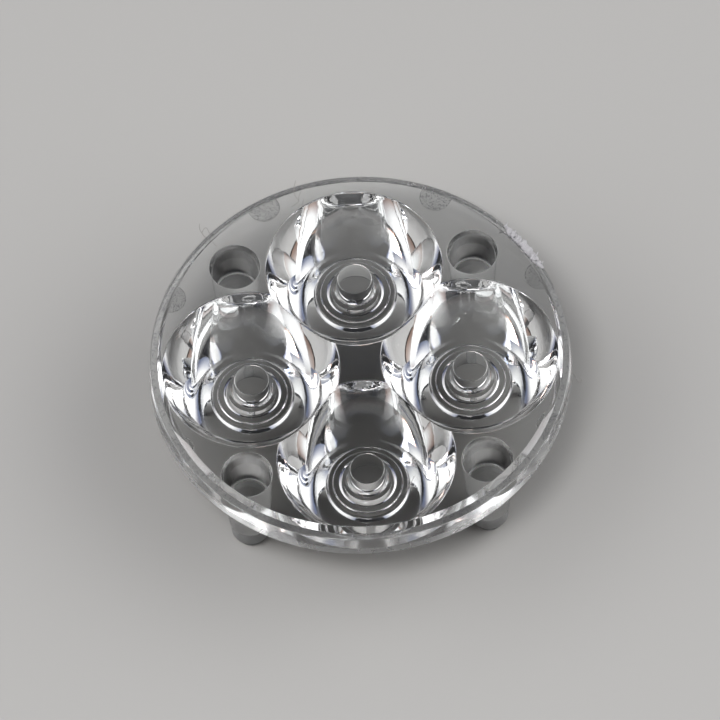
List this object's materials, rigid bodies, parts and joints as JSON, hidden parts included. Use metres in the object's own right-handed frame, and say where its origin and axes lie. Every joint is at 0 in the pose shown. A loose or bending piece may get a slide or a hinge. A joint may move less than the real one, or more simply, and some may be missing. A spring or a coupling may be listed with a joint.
{
  "type": "total internal reflection lens",
  "caption": "Round clear moulded lens plate with a cluster of solid reflecting collimators and locating legs, for a lamp board.",
  "frame": {"origin": "centre of the plane that the leg tips stand on", "axes": "+Z is the way the light leaves, through the flat front face; +X and +Y each run through the middle of a collimator, and the legs lie between them"},
  "size_m": [0.05, 0.05, 0.0173],
  "materials": {
    "clear_acrylic": "polished"
  },
  "bodies": {
    "root": {"quad_lens": "clear_acrylic"}
  },
  "joints": []
}
